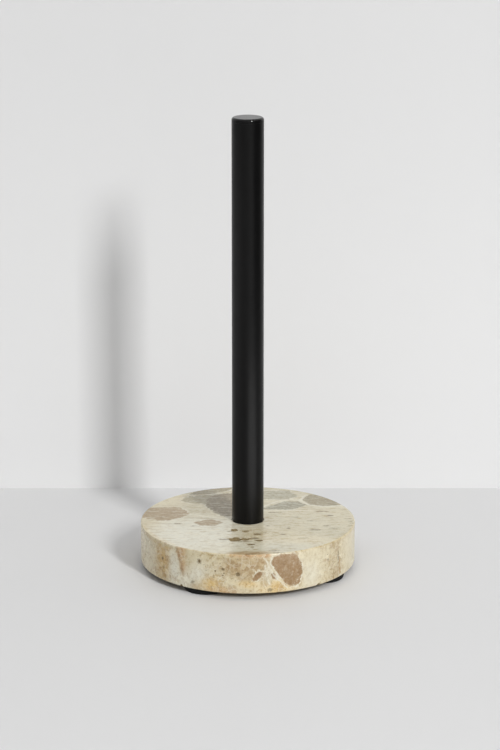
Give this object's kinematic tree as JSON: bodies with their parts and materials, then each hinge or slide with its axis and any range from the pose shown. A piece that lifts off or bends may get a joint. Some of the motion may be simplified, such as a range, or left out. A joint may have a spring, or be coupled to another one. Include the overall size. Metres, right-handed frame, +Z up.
{
  "type": "paper towel holder",
  "caption": "Free-standing holder for a kitchen roll: a slim black post clamped upright on a heavy round marble base with rubber foot pads.",
  "frame": {"origin": "on the surface the holder stands on, under the middle of the base", "axes": "+Z up along the post, -Y towards the front"},
  "size_m": [0.15, 0.15, 0.317],
  "materials": {
    "marble": "polished breccia marble, cream with tan, taupe and ochre clasts and white veins",
    "powder_coat": "satin black powder coat on steel",
    "rubber": "matt black rubber",
    "zinc_plated_steel": "bright zinc plate",
    "plain_steel": "plain turned steel"
  },
  "bodies": {
    "root": {"marble_base": "marble", "post_tube": "powder_coat", "post_end_cap": "powder_coat", "post_gasket": "rubber", "threaded_plug": "plain_steel", "clamp_screw": "zinc_plated_steel", "spring_washer": "zinc_plated_steel", "flat_washer": "zinc_plated_steel", "foot_pad_1": "rubber", "foot_pad_2": "rubber", "foot_pad_3": "rubber", "foot_pad_4": "rubber"}
  },
  "joints": []
}
